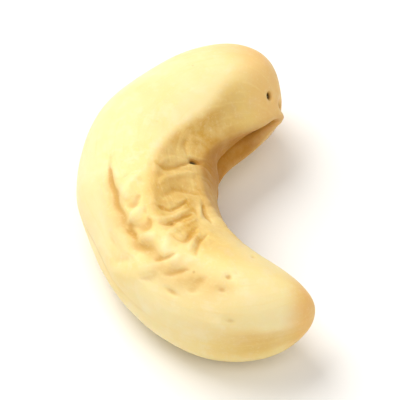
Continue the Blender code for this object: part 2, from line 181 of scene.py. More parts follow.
# What shifts the strokes to and fro: millimetres, then waves per millimetre along x, y and z, and a phase.
SWAYS = (
    (0.13, 0.17, 0.14, 0.12, 0.3),
    (0.06, -0.33, 0.28, 0.22, 2.1),
    (0.025, 0.55, 0.61, -0.50, 4.4),
)
# They are shifted crosswise in waves shorter by this factor, as if the section were at least this round.
SWAY_FACTOR, SWAY_ROUND = 1.3, 1.0

# The lower side has its own folds in the same bend, laid by a rule: the length run of the first and the step
# to the next, then the least and the most of where each starts and ends, its slant, its half width and its
# height.
LOWER_FOLDS = 12
LOWER_FIRST, LOWER_STEP = 14.6, 0.92
LOWER_START, LOWER_END = (268, 290), (228, 248)
LOWER_SLANT = (-0.7, 0.2)
LOWER_HALF_WIDTH, LOWER_HEIGHT = (0.26, 0.38), (0.11, 0.2)
LOWER_SEED = 5
LOWER_CREASE = (0.40, 0.24, ((16.4, 303), (18.2, 306), (20.1, 305), (22.3, 297)))

# Gentle unevenness of the whole skin: height, then waves per millimetre along x, y and z, and a phase.
UNEVENNESS = (
    (0.05, 0.11, 0.07, 0.05, 0.4),
    (0.04, -0.06, 0.13, 0.10, 1.9),
    (0.03, 0.16, -0.12, 0.14, 3.3),
)

# The fine skin: rings along the kernel, points round each ring, and steps in the table of the middle line.
RINGS = 364
RING_POINTS = 264
TABLE_STEPS = 1201

# Small wrinkles that run round the section in the bend: height, waves per millimetre along and round the
# kernel, and where along the kernel they start, are full, fade and end.
WRINKLE_HEIGHT = 0.05
WRINKLE_WAVES = (1.15, 0.32)
WRINKLE_REACH = (12.5, 16.0, 25.0, 29.0)
# Where round the section they start, are full, fade and end, in degrees, above the seam and mirrored below.
WRINKLE_TURNS = (48, 72, 140, 172)
# Fine creases that part the same skin into small pads: depth, width as a share of a pad, and pads per
# millimetre along and round the kernel.
PAD_DEPTH, PAD_WIDTH = 0.055, 0.20
PAD_WAVES = (0.85, 0.42)
# How far the pads are shifted to and fro, and in how many waves per millimetre.
PAD_SHIFT, PAD_SHIFT_WAVES = 0.5, 0.9
# The pads come and go in patches: waves per millimetre, and the noise at which they begin and are full.
PATCH_WAVES, PATCH_REACH = 0.45, (-0.5, 0.3)
# How far off the noise is read for the lower side, so that it differs from the upper side's.
LOWER_SIDE_SHIFT = 40.0

# Soft lumps all over: height and waves per millimetre.
LUMPS = ((0.030, 0.30), (0.014, 0.75), (0.006, 1.9))

# Small pores here and there: depth, radius, how many cells that may hold one there are in a millimetre, the
# noise under which a cell stays empty, and what its middle is multiplied by to read that noise.
PORE_DEPTH, PORE_RADIUS, PORE_CELLS, PORE_EMPTY, PORE_DRAW = 0.06, 0.17, 0.55, 0.35, 7.3

# How tan the slope is along the kernel, partly the flesh's own tan and partly painted shade where the slope
# turns from the light, how far past the crest the tan begins, as a share of the way to the lip, how much of
# the crest's softness it takes to be full, and where it fades in at the blunt end.
SLOPE_SHADE = ((0, 0.3), (4, 0.45), (8, 1.12), (12, 1.25), (14.5, 1), (16.2, 0.7), (18, 1.1), (20, 1),
               (22, 0.5), (24, 0.65), (26, 0.5), (29, 0.2), (34.2, 0.2))
SLOPE_BEGINS, SLOPE_FULL, SLOPE_END = -0.12, 0.5, (0.2, 2.4)
# Tan along the folds and the dents, partly the flesh's own and partly painted shade under the swellings: half
# width, share, and the places it runs through.
TAN_AND_SHADE_STREAKS = (
    (0.9, 0.78, ((16.2, 57), (18.0, 51), (20.4, 49), (22.2, 58), (23.7, 52))),
    (1.0, 0.75, ((22.4, 62), (24.0, 54), (25.2, 58), (26.4, 62), (28.4, 68))),
    (1.1, 1.35, ((17.2, 127), (19.7, 121), (21.6, 113), (23.4, 101), (25.6, 95))),
)
# How brown the cleft is along the kernel, partly the flesh's own brown and partly painted shade under the
# lip, the turns from the lip at which the brown begins and is full, in radians, and the same as a share of
# the half width.
CLEFT_SHADE = ((0, 0.2), (2, 0.8), (4, 1), (15.5, 1.1), (18, 0.6), (23, 0.5), (29, 0.35), (32, 0))
CLEFT_BEGINS, CLEFT_FULL, CLEFT_SIDE = -0.2, 0.1, (0, -0.3)
# The lower slope has this share of the cleft's brown, as painted shade under the blunt arm, which begins this
# turn past the crest, in radians.
LOWER_PAINTED_SHADE, LOWER_PAINTED_SHADE_BEGINS = 0.6, 0.25
# How pale the upper side is along the kernel, partly powder and partly painted light where the light falls,
# and the same for the rim on the outer side, which begins and is full at these shares of the half width.
PALE_SHADE = ((0, 0.5), (5, 0.8), (9, 1), (12.5, 0.75), (15, 0.35), (19, 0))
RIM_SHADE = ((0, 0.6), (12, 1.3), (17, 1.3), (21, 0.5), (26, 0.2), (30, 0))
RIM_SIDE = (0.45, 0.85)
# The front of the slim arm is pale too, partly powder and partly painted light: share of the half width,
# height over the seam, and length run.
FRONT_SIDE, FRONT_RISE, FRONT_RUN = (-0.2, 0.45), (-1, 1), (21, 25)
# The flatter wall gets painted shade in ochre: how much for what is planed off, and its reach in degrees and
# in length run.
WALL_SHADE, WALL_TURNS, WALL_RUN = 2.5, (28, 10), (25.5, 31.5)
# Where the rose of the slim end and of the blunt end begins and is full: partly the flesh's own rose and
# partly painted shade where the ends turn from the light.
SLIM_ROSE, BLUNT_ROSE = (31.4, 33.2), (4.8, 0.8)

# The dents with painted shade inside, by their place in the list, and how much darker than their depth says.
SHADE_PAINTED_DENTS = ((0, 1.8), (2, 0.5))

# The reach, in grid steps, of the average that creases are told from.
CREASE_REACH = 5
CREASE_FULL = 0.13

# Colours of the flesh; among them the tans, browns, rose and ochre are partly or wholly painted shade.
CREAM = (0.915, 0.755, 0.360, 1.0)
CREAM_PALE = (0.940, 0.815, 0.525, 1.0)
CREAM_DEEP = (0.900, 0.690, 0.265, 1.0)
SLOPE_TAN_AND_SHADE = (0.640, 0.340, 0.040, 1.0)
CREASE_TAN_AND_SHADE = (0.640, 0.360, 0.085, 1.0)
CREASE_BROWN_AND_SHADE = (0.600, 0.310, 0.040, 1.0)
CLEFT_BROWN_AND_SHADE = (0.460, 0.190, 0.005, 1.0)
TIP_ROSE_AND_SHADE = (0.840, 0.470, 0.130, 1.0)
WALL_PAINTED_SHADE = (0.700, 0.420, 0.085, 1.0)
PIT_SHADE_AND_SPECK_BROWN = (0.360, 0.165, 0.020, 1.0)
HOLE_PAINTED_SHADE = (0.100, 0.060, 0.008, 1.0)

# The unevenness of the flesh's colour, from large to small: waves per millimetre.
BLOTCH_WAVES, MOTTLE_WAVES, POWDER_WAVES = 0.20, 0.9, 4.5
# Faint streaks that run along the flesh: waves per millimetre along it, across it and upwards.
STREAK_WAVES = (0.22, 2.4, 0.3)
# How many finer layers each noise has and how strong they are, and how far the streaks are bent to and fro.
BLOTCH_LAYERS, MOTTLE_LAYERS, POWDER_LAYERS = (3.0, 0.5), (4.0, 0.6), (4.0, 0.65)
STREAK_LAYERS, STREAK_BENT = (3.0, 0.6), 0.4
# Most of a noise lies between these values.
NOISE_REACH = (0.3, 0.7)
# How strong each tint is where a noise is low and where it is high.
TAN_STRENGTH, ROSE_STRENGTH = (0.52, 0.80), (0.68, 0.92)
WALL_SHADE_STRENGTH, CLEFT_STRENGTH = (0.55, 0.85), (0.80, 0.98)
# The noise at which the deeper cream, the paler mottle, the streaks and the powder begin and are full.
DEEP_REACH, MOTTLE_REACH = (0.35, 0.68), (0.46, 0.72)
STREAK_REACH, POWDER_REACH = (0.50, 0.72), (0.52, 0.70)
MOTTLE_STRENGTH, PALE_STRENGTH, STREAK_STRENGTH = 0.45, 0.28, 0.30
# The powder's strength away from the cleft and in it, and where in the cleft it is least.
POWDER_STRENGTH, POWDER_CLEFT = (0.17, 0.04), 0.5
# How deep a crease is, or how high a fold, where its tint begins and is full, and how strong the tint is; the
# creases get painted shade, partly the flesh's own tan, the pits and holes painted shade, and the folds a
# painted highlight, partly powder. A fold's is told for flesh that isn't tan and for tan flesh.
CREASE_TINT, CREASE_STRENGTH = (0.08, 0.95), 0.75
FOLD_TINT, FOLD_STRENGTH = (0.05, 0.8), (0.25, 0.12)
PIT_TINT, HOLE_TINT = (1.2, 1.9), (1.9, 2.6)
# Small dark specks: cells per millimetre, the share of the cells without one, the reach of a speck as shares
# of a cell, and its strength.
SPECK_CELLS, SPECK_EMPTY, SPECK_REACH, SPECK_STRENGTH = 0.55, 0.88, (0.085, 0.02), 0.30

# Roughness where the powder is low and high, and how much a crease adds.
ROUGHNESS, CREASE_ROUGHNESS = (0.40, 0.56), 0.12
# Fine unevenness that only the light shows: height in metres, and strength.
MOTTLE_BUMP, STREAK_BUMP, POWDER_BUMP = (0.00006, 0.55), (0.00004, 0.5), (0.000022, 0.6)

# What is the same all over the flesh and all over the floor.
FLESH_SETTINGS = {
    "Subsurface Weight": 0.35,
    "Subsurface Radius": (1.0, 0.65, 0.25),
    "Subsurface Scale": 0.0011,
    "Specular IOR Level": 0.26,
    "IOR": 1.45,
    "Sheen Weight": 0.03,
    "Sheen Roughness": 0.5,
}
FLOOR_SETTINGS = {"Base Color": (0.95, 0.94, 0.92, 1.0), "Roughness": 0.75, "Specular IOR Level": 0.2}

# The light and the camera.
KEY_DIRECTION, KEY_COLOUR = (-0.42, 0.38, 0.82), (1.0, 0.985, 0.96)
KEY_DISTANCE, KEY_SIZE, KEY_POWER = 0.55, 0.42, 2.7
FILL_DIRECTION, FILL_COLOUR = (0.20, -0.52, 0.83), (1.0, 0.99, 0.97)
FILL_DISTANCE, FILL_SIZE, FILL_POWER = 0.60, 0.50, 1.3
SKY_COLOUR, SKY_STRENGTH = (1.0, 0.995, 0.985, 1.0), 0.41
CAMERA_ELEVATION = 50.0
CAMERA_DISTANCE = 0.37
FRAME_WIDTH = 0.0292
SENSOR = 36.0
NEAREST, FARTHEST = 0.01, 10.0
AIM = (0.0004, 0.0, 0.0043)
FLOOR_SIDE = 2.0


def natural_spline(knots, values, places):
    """Reads a natural cubic spline through the values, one column for each coordinate."""
    gaps = np.diff(knots)
    slopes = np.diff(values, axis=0) / gaps[:, None]
    count = len(knots)
    matrix = np.eye(count)
    right = np.zeros_like(values)
    for i in range(1, count - 1):
        matrix[i, i - 1 : i + 2] = gaps[i - 1], 2 * (gaps[i - 1] + gaps[i]), gaps[i]
        right[i] = 6 * (slopes[i] - slopes[i - 1])
    second = np.linalg.solve(matrix, right)
    i = np.clip(np.searchsorted(knots, places, side="right") - 1, 0, count - 2)
    gap = gaps[i][:, None]
    t = (places - knots[i])[:, None] / gap
    bend = ((1 - t) ** 3 - (1 - t)) * second[i] + (t**3 - t) * second[i + 1]
    return (1 - t) * values[i] + t * values[i + 1] + gap**2 / 6 * bend


def closing(distance, length, power):
    """The share of full thickness at a distance from an end."""
    t = np.clip(1 - distance / length, 0, 1)
    return (1 - t**power) ** (1 / power)


def middle_line():
    """Tables the middle line: length run, outline's length, place, outward direction, bend and sizes."""
    stations = np.array(STATIONS)
    chords = np.hypot(*np.diff(stations[:, :2], axis=0).T)
    knots = np.concatenate(([0.0], np.cumsum(chords)))
    table = natural_spline(knots, stations, np.linspace(0, knots[-1], TABLE_STEPS))
    run = np.concatenate(([0.0], np.cumsum(np.hypot(*np.diff(table[:, :2], axis=0).T))))
    along = np.gradient(table[:, :2], run, axis=0)
    heading = np.unwrap(np.arctan2(along[:, 1], along[:, 0]))
    share = closing(run, BLUNT_LENGTH, BLUNT_POWER) * closing(run[-1] - run, SLIM_LENGTH, SLIM_POWER)
    outline = np.cumsum(np.hypot(np.diff(run), np.diff(share * table[:, 2])))
    return {
        "run": run,
        "outline": np.concatenate(([0.0], outline)),
        "x": table[:, 0],
        "y": table[:, 1],
        "out_x": np.sin(heading),
        "out_y": -np.cos(heading),
        "bend": np.gradient(heading, run),
        "width": table[:, 2],
        "top": table[:, 3],
        "bottom": table[:, 4],
        "share": share,
    }


def smooth(low, high, value):
    """Rises smoothly from 0 at low to 1 at high."""
    t = np.clip((value - low) / (high - low), 0, 1)
    return t * t * (3 - 2 * t)


def skin(line, run, turn):
    """Places on the plain skin, before its folds, at lengths run (mm) and turns round the section (radians).

    The turn is 0 on the outer side, a quarter on top and a half on the hollow side.
    """
    at = {name: np.interp(run, line["run"], line[name])[:, None] for name in line}
    cos, sin = np.cos(turn)[None, :], np.sin(turn)[None, :]
    power = 2 / (SLOPE_POWER + (OUTER_POWER - SLOPE_POWER) * smooth(*POWER_CHANGE, cos))
    out = at["width"] * at["share"] * np.sign(cos) * np.abs(cos) ** power
    half = np.where(sin > 0, at["top"], at["bottom"])
    up = half * at["share"] * np.sign(sin) * np.abs(sin) ** power
    points = np.stack(
        (at["x"] + at["out_x"] * out, at["y"] + at["out_y"] * out, SEAM_HEIGHT + up), axis=-1
    )
    place = {
        "line": line,
        "run": at["run"] + 0 * up,
        "outline": at["outline"] + 0 * up,
        "turn": turn[None, :] + 0 * up,
        "side": out / at["width"],
        "rise": up,
        "stretch": 1 - at["bend"] * out,
        "round": np.sqrt(at["width"] * half) * at["share"],
    }
    return points, place


def ring_runs(line, rings):
    """Lengths run of the rings, evenly spaced over the outline of the kernel, ends included."""
    return np.interp(np.linspace(0, line["outline"][-1], rings + 1), line["outline"], line["run"])


def listed(table, run):
    """Reads a table of lengths run and values, rounded off at its entries."""
    runs, values = np.array(table, dtype=float).T
    return sum(np.interp(run + shift, runs, values) for shift in ROUNDING) / len(ROUNDING)


def lip_turns(place):
    """The turn of the lip, measured from the outer side, above the seam and below it."""
    wavers = LOWER_LIP_SHIFT + LOWER_LIP_WAVER * np.sin(2 * math.pi * LOWER_LIP_WAVES * place["run"])
    return np.radians(listed(LIP, place["run"]) + np.where(place["turn"] > math.pi, wavers, 0))


def distance(place, here):
    """Distances over the skin, in millimetres, from one place: lengthwise and crosswise."""
    run, turn = here
    along = place["outline"] - np.interp(run, place["line"]["run"], place["line"]["outline"])
    across = (place["turn"] - math.radians(turn) + math.pi) % (2 * math.pi) - math.pi
    return along * place["stretch"], across * place["round"]


def swayed(points, place):
    """The same places shifted a little to and fro over the skin, so that no fold runs quite straight."""
    along = np.zeros_like(place["run"])
    across = np.zeros_like(along)
    for size, wave_x, wave_y, wave_z, phase in SWAYS:
        waves = 2 * math.pi * (points @ np.array((wave_x, wave_y, wave_z))) + phase
        along += size * np.sin(waves)
        across += size * np.cos(SWAY_FACTOR * waves)
    reach = np.maximum(place["round"], SWAY_ROUND)
    return dict(place, outline=place["outline"] + along, turn=place["turn"] + across / reach)


def stroke(place, half_width, height, path):
    """A raised line through the places of a path, which thins out and dies away towards both ends."""
    shares = np.linspace(0, 1, STROKE_STEPS + 1)
    curve = natural_spline(np.linspace(0, 1, len(path)), np.array(path, dtype=float), shares)
    nearest = np.full(place["run"].shape, np.inf)
    share = np.zeros_like(nearest)
    for i, (start, end) in enumerate(zip(curve, curve[1:])):
        along, across = distance(place, start)
        step_along = along - distance(place, end)[0]
        step_across = math.radians(end[1] - start[1]) * place["round"]
        square = np.maximum(step_along**2 + step_across**2, 1e-9)
        t = np.clip((along * step_along + across * step_across) / square, 0, 1)
        gap = np.hypot(along - t * step_along, across - t * step_across)
        share = np.where(gap < nearest, (i + t) / STROKE_STEPS, share)
        nearest = np.minimum(nearest, gap)
    fullness = STROKE_END + (1 - STROKE_END) * np.sqrt(4 * share * (1 - share))
    return height * fullness * np.exp(-((nearest / (half_width * fullness)) ** 2))


def spot(place, radius, height, run, turn):
    """A round bump, or a dent where the height is negative."""
    away = np.hypot(*distance(place, (run, turn)))
    return height * np.exp(-((away / radius) ** 2))


def planed_slopes(place):
    """Takes the bulge off between crest and lip, which leaves a flatter slope with an edge at each side."""
    crest = np.radians(listed(CREST, place["run"]))
    lip = lip_turns(place)
    above = np.minimum(place["turn"], 2 * math.pi - place["turn"])
    middle, half = (crest + lip) / 2, (lip - crest) / 2
    bulge = 1 - np.cos(half) / np.cos(np.minimum(np.abs(above - middle), half))
    softness = listed(CREST_SOFTNESS, place["run"])
    across = (above - crest) / (lip - crest)
    slope = listed(PLANED, place["run"]) * bulge * smooth(0, softness, across) * smooth(*PLANED_FADE, across)
    edge = math.radians(WALL_EDGE)
    flat = 1 - math.cos(edge) / np.cos(np.minimum(above, edge))
    wall = listed(WALL, place["run"]) * flat * smooth(*WALL_FADE, above / edge)
    return -(slope + wall) * place["round"]


def seam(place):
    """The hollow between the lips, and the fine seam between the two seed leaves all round."""
    off = np.minimum(np.abs(place["turn"] - math.pi) / (math.pi - np.minimum(lip_turns(place), LIP_LIMIT)), 2)
    trough = np.log1p(np.exp(LIP_SHARPNESS * (1 - off**2))) / LIP_SHARPNESS
    hollow = smooth(*HOLLOW_SIDE, place["side"])
    past_nib = smooth(*PAST_NIB, place["run"] - NIB_RUN)
    cleft = listed(CLEFT_DEPTH, place["run"]) * trough * hollow * past_nib
    wander = SEAM_WANDER * np.sin(SEAM_WAVES * place["run"])
    comes = 1 - SEAM_COMES + SEAM_COMES * np.sin(SEAM_COMES_WAVES * place["run"] + SEAM_COMES_PHASE)
    ends = smooth(*SEAM_BLUNT_END, place["run"]) * smooth(*SEAM_SLIM_END, place["run"])
    away = place["rise"] - wander
    line = SEAM_DEPTH * comes * ends * np.exp(-((away / SEAM_HALF_WIDTH) ** 2))
    groove = GROOVE_DEPTH * hollow * ends * past_nib * np.exp(-((away / GROOVE_HALF_WIDTH) ** 2))
    outer = smooth(*DIP_SIDE, place["side"])
    dip = DIP_DEPTH * outer * ends * np.exp(-((away / DIP_HALF_WIDTH) ** 2))
    return -cleft - line - groove - dip


def lower_folds(place):
    """Creases and folds in turn across the lower slope of the bend, and one long crease outside them."""
    draw = np.random.default_rng(LOWER_SEED)
    half_width, depth, path = LOWER_CREASE
    height = -stroke(place, half_width, depth, path)
    for i in range(LOWER_FOLDS):
        run = LOWER_FIRST + i * LOWER_STEP
        start = (run, draw.uniform(*LOWER_START))
        end = (run + draw.uniform(*LOWER_SLANT), draw.uniform(*LOWER_END))
        up_or_down = -1 if i % 2 else 1
        size = up_or_down * draw.uniform(*LOWER_HEIGHT)
        height += stroke(place, draw.uniform(*LOWER_HALF_WIDTH), size, (start, end))
    return height


def relief(points, place):
    """How far the skin stands out from its plain form, in millimetres."""
    moved = swayed(points, place)
    height = planed_slopes(place) + seam(place) + lower_folds(moved)
    for half_width, depth, path in CREASES:
        height -= stroke(moved, half_width, depth, path)
    for half_width, rise, path in FOLDS:
        height += stroke(moved, half_width, rise, path)
    for radius, depth, run, turn in DENTS:
        height -= spot(place, radius, depth, run, turn)
    for radius, rise, run, turn in BUMPS:
        height += spot(place, radius, rise, run, turn)
    height += spot(place, NIB_RADIUS, NIB_HEIGHT, NIB_RUN, NIB_TURN)
    for size, wave_x, wave_y, wave_z, phase in UNEVENNESS:
        waves = points @ np.array((wave_x, wave_y, wave_z))
        height += size * np.sin(2 * math.pi * waves + phase)
    return height


def outward(points):
    """Directions that point out of the skin at each place of the grid."""
    along = np.gradient(points, axis=0)
    across = np.roll(points, -1, axis=1) - np.roll(points, 1, axis=1)
    normal = np.cross(along, across)
    normal[0] = normal[1].mean(axis=0)
    normal[-1] = normal[-2].mean(axis=0)
    return normal / np.linalg.norm(normal, axis=-1, keepdims=True)


def window(value, reach):
    """1 between the middle two of four values, fading to 0 at the outer two."""
    start, full, fade, end = reach
    return smooth(start, full, value) * (1 - smooth(fade, end, value))


def grain(points, waves):
    """Smooth noise from -1 to 1 at each place, with that many waves per millimetre."""
    flat = points.reshape(-1, 3) * waves
    values = [noise.noise(Vector(place)) for place in flat]
    return np.array(values).reshape(points.shape[:-1])


def pad_gaps(cells):
    """1 on the borders between irregular cells, fading to 0 inside them."""
    flat = cells.reshape(-1, 3)
    nearest = np.array([noise.voronoi(Vector(place))[0][:2] for place in flat])
    gap = (nearest[:, 1] - nearest[:, 0]).reshape(cells.shape[:-1])
    return np.exp(-((gap / PAD_WIDTH) ** 2))


def pores(points):
    """1 in the middle of each small pore, fading to 0 round it."""
    flat = points.reshape(-1, 3) * PORE_CELLS
    depths = []
    for place in flat:
        gaps, middles = noise.voronoi(Vector(place))
        chosen = noise.cell(middles[0] * PORE_DRAW) > PORE_EMPTY
        depths.append(math.exp(-((gaps[0] / PORE_CELLS / PORE_RADIUS) ** 2)) if chosen else 0.0)
    return np.array(depths).reshape(points.shape[:-1])


def fine_relief(points, place):
    """Wrinkles and small pads round the bend, and pores and soft lumps all over, in millimetres."""
    above = np.degrees(np.minimum(place["turn"], 2 * math.pi - place["turn"]))
    side = np.where(place["turn"] < math.pi, 0.0, LOWER_SIDE_SHIFT)
    crosswise = np.radians(above) * place["round"]
    along, across = WRINKLE_WAVES
    stretched = np.stack((place["run"] * along, crosswise * across, side + 0 * above), axis=-1)
    creased = window(place["run"], WRINKLE_REACH) * window(above, WRINKLE_TURNS)
    height = WRINKLE_HEIGHT * grain(stretched, 1.0) * creased
    shift = PAD_SHIFT * grain(points, PAD_SHIFT_WAVES)
    along, across = PAD_WAVES
    cells = np.stack((place["run"] * along + shift, crosswise * across - shift, side + 0 * above), axis=-1)
    height -= PAD_DEPTH * pad_gaps(cells) * creased * smooth(*PATCH_REACH, grain(points, PATCH_WAVES))
    height -= PORE_DEPTH * pores(points)
    for size, waves in LUMPS:
        height += size * grain(points, waves)
    return height


def spread(values, reach):
    """The average over a square patch of the grid, which wraps round the section."""
    total = np.zeros_like(values)
    for step in range(-reach, reach + 1):
        total += np.roll(values, step, axis=1)
    rows = np.arange(len(values))
    across = total / (2 * reach + 1)
    total = np.zeros_like(values)
    for step in range(-reach, reach + 1):
        total += across[np.clip(rows + step, 0, len(values) - 1)]
    return total / (2 * reach + 1)


def fit_into(points, low, high):
    """Moves the places into a box, by no more than the box asks for."""
    lowest, highest = points.min(axis=(0, 1)), points.max(axis=(0, 1))
    share = np.minimum((high - low) / (highest - lowest), 1.0)
    middle, target = (lowest + highest) / 2, (low + high) / 2
    fitted = (points - middle) * share + target
    return np.clip(fitted, low, high)


def creasing(place, height):
    """How deep each place lies in a crease, or below 0 how high on a fold, deepest in the dents with painted
    shade.
    """
    crease = (spread(height, CREASE_REACH) - height) / CREASE_FULL
    # These dents get painted shade inside.
    for i, darkness in SHADE_PAINTED_DENTS:
        radius, _, run, turn = DENTS[i]
        crease += spot(place, radius, darkness, run, turn)
    return crease


def flesh_tints(place, height):
    """What the flesh's colours follow at each place of the skin, painted shade and light among them."""
    run, side = place["run"], place["side"]
    above = np.minimum(place["turn"], 2 * math.pi - place["turn"])
    crest, lip = np.radians(listed(CREST, run)), lip_turns(place)
    full = SLOPE_FULL * listed(CREST_SOFTNESS, run)
    slope = smooth(SLOPE_BEGINS, full, (above - crest) / (lip - crest)) * smooth(*SLOPE_END, run)
    # The slope's tan: partly the flesh's own, partly painted shade where the slope turns from the light.
    tan_and_shade = slope * listed(SLOPE_SHADE, run)
    for half_width, share, path in TAN_AND_SHADE_STREAKS:
        tan_and_shade = np.maximum(tan_and_shade, stroke(place, half_width, share, path))
    # The cleft's brown: partly the flesh's own, partly painted shade under the lip; on the lower slope,
    # painted shade.
    deep = smooth(lip + CLEFT_BEGINS, lip + CLEFT_FULL, above) * smooth(*CLEFT_SIDE, side)
    lower_shade = LOWER_PAINTED_SHADE * smooth(crest + LOWER_PAINTED_SHADE_BEGINS, lip, above) * (place["turn"] > math.pi)
    # Painted shade on the flatter front wall of the slim arm.
    wall = WALL_SHADE * listed(WALL, run) * smooth(*WALL_RUN, run) * smooth(*np.radians(WALL_TURNS), above)
    # Paleness of the upper side, rim and front: partly powder, partly painted light; none on the shaded
    # slope.
    front = smooth(*FRONT_SIDE, side) * smooth(*FRONT_RISE, place["rise"]) * smooth(*FRONT_RUN, run)
    rim = smooth(*RIM_SIDE, side) * listed(RIM_SHADE, run)
    pale_powder_and_light = np.maximum(np.maximum(listed(PALE_SHADE, run), front), rim)
    return {
        "crease": creasing(place, height),
        "hollow_tan_and_shade": tan_and_shade,
        "cleft": np.maximum(deep, lower_shade) * listed(CLEFT_SHADE, run),
        # The ends' rose: partly the flesh's own, partly painted shade.
        "tip_rose_and_shade": np.maximum(smooth(*SLIM_ROSE, run), smooth(*BLUNT_ROSE, run)),
        "wall": wall,
        "pale_powder_and_light": (1 - slope) * pale_powder_and_light,
        "along": run,
        "across": above * place["round"],
        "rise": place["rise"],
    }


def fine_kernel():
    """The fine skin in metres, and its tints."""
    line = middle_line()
    turns = np.linspace(0, 2 * math.pi, RING_POINTS, endpoint=False)
    points, place = skin(line, ring_runs(line, RINGS), turns)
    height = relief(points, place) + fine_relief(points, place)
    height[[0, -1]] = height[[0, -1]].mean(axis=1, keepdims=True)
    points = points + outward(points) * height[..., None]
    points[..., :2] += PLAN_SHIFT
    points[..., 2] = np.maximum(points[..., 2], 0)
    low, high = (np.array(corner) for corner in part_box("kernel"))
    return fit_into(points * MM, low, high), flesh_tints(place, height)


def skinned(name, points, tints):
    """A mesh over a grid whose first and last rows have shrunk to a point, with its tints as attributes."""
    rows, count = points.shape[:2]
    middle = points[1:-1].reshape(-1, 3)
    places = np.vstack((points[0, :1], middle, points[-1, :1]))
    last = len(places) - 1
    faces = []
    for k in range(count):
        nxt = (k + 1) % count
        faces.append((0, 1 + k, 1 + nxt))
        faces.append((last, last - count + nxt, last - count + k))
    for i in range(rows - 3):
        start = 1 + i * count
        for k in range(count):
            nxt = (k + 1) % count
            faces.append((start + k, start + count + k, start + count + nxt, start + nxt))
    mesh = bpy.data.meshes.new(name)
    mesh.from_pydata(places.tolist(), [], faces)
    mesh.shade_smooth()
    for tint, values in tints.items():
        flat = np.concatenate((values[0, :1], values[1:-1].ravel(), values[-1, :1]))
        mesh.attributes.new(tint, "FLOAT", "POINT").data.foreach_set("value", flat.astype(np.float32))
    piece = bpy.data.objects.new(name, mesh)
    bpy.context.scene.collection.objects.link(piece)
    return piece


class Graph:
    """Short calls for building one material's nodes."""

    def __init__(self, name):
        self.material = bpy.data.materials.new(name)
        self.material.use_nodes = True
        self.nodes = self.material.node_tree.nodes
        self.links = self.material.node_tree.links
        self.shader = self.nodes["Principled BSDF"]

    def put(self, socket, value):
        """Links a node's result to a socket, or sets the socket to a constant."""
        if isinstance(value, bpy.types.NodeSocket):
            self.links.new(value, socket)
        else:
            socket.default_value = value

    def math(self, operation, first, second, clamp=False):
        """A sum, a product or a comparison of two values."""
        node = self.nodes.new("ShaderNodeMath")
        node.operation = operation
        node.use_clamp = clamp
        self.put(node.inputs[0], first)
        self.put(node.inputs[1], second)
        return node.outputs[0]

    def times(self, first, second):
        """The product of two values."""
        return self.math("MULTIPLY", first, second)

    def ramp(self, value, low, high, to_low=0.0, to_high=1.0):
        """Reads a value between two others as a smooth rise between two more."""
        node = self.nodes.new("ShaderNodeMapRange")
        node.interpolation_type = "SMOOTHSTEP"
        self.put(node.inputs["Value"], value)
        self.put(node.inputs["From Min"], low)
        self.put(node.inputs["From Max"], high)
        self.put(node.inputs["To Min"], to_low)
        self.put(node.inputs["To Max"], to_high)
        return node.outputs["Result"]

    def mix(self, share, first, second):
        """The first colour, with a share of the second laid over it."""
        node = self.nodes.new("ShaderNodeMix")
        node.data_type = "RGBA"
        self.put(node.inputs["Factor"], share)
        self.put(node.inputs[6], first)
        self.put(node.inputs[7], second)
        return node.outputs[2]

    def attribute(self, name):
        """What the skin's mesh says under that name."""
        node = self.nodes.new("ShaderNodeAttribute")
        node.attribute_name = name
        return node.outputs["Fac"]

    def tint(self, name, uneven, strength, colour, over):
        """Lays a colour over another where the named tint says, more or less of it by a noise."""
        share = self.times(self.attribute(name), self.ramp(uneven, *NOISE_REACH, *strength))
        return self.mix(share, over, colour)

    def millimetres(self):
        """The place on the object, in millimetres."""
        place = self.nodes.new("ShaderNodeTexCoord")
        scaled = self.nodes.new("ShaderNodeVectorMath")
        scaled.operation = "SCALE"
        scaled.inputs["Scale"].default_value = 1 / MM
        self.links.new(place.outputs["Object"], scaled.inputs[0])
        return scaled.outputs[0]

    def lengthwise(self, along, across, rise):
        """A place given by the skin's own lengths along and across the kernel, each by its waves per mm."""
        joined = self.nodes.new("ShaderNodeCombineXYZ")
        for i, (name, waves) in enumerate((("along", along), ("across", across), ("rise", rise))):
            self.put(joined.inputs[i], self.times(self.attribute(name), waves))
        return joined.outputs[0]

    def noise(self, place, waves, layers, bent=0.0):
        """Smooth noise from 0 to 1, with that many waves in a unit of the place."""
        node = self.nodes.new("ShaderNodeTexNoise")
        self.links.new(place, node.inputs["Vector"])
        node.inputs["Scale"].default_value = waves
        node.inputs["Detail"].default_value = layers[0]
        node.inputs["Roughness"].default_value = layers[1]
        node.inputs["Distortion"].default_value = bent
        return node.outputs["Fac"]

    def cells(self, place, waves):
        """The distance to the nearest cell's middle, and a number drawn for that cell."""
        node = self.nodes.new("ShaderNodeTexVoronoi")
        self.links.new(place, node.inputs["Vector"])
        node.inputs["Scale"].default_value = waves
        split = self.nodes.new("ShaderNodeSeparateColor")
        self.links.new(node.outputs["Color"], split.inputs[0])
        return node.outputs["Distance"], split.outputs[0]

    def bump(self, height, distance, strength, normal=None):
        """Unevenness that only the light shows, on top of another where one is given."""
        node = self.nodes.new("ShaderNodeBump")
        self.put(node.inputs["Height"], height)
        node.inputs["Distance"].default_value = distance
        node.inputs["Strength"].default_value = strength
        if normal is not None:
            self.links.new(normal, node.inputs["Normal"])
        return node.outputs["Normal"]

    def settle(self, settings):
        """Sets the shader's values that are the same all over."""
        for name, value in settings.items():
            self.shader.inputs[name].default_value = value


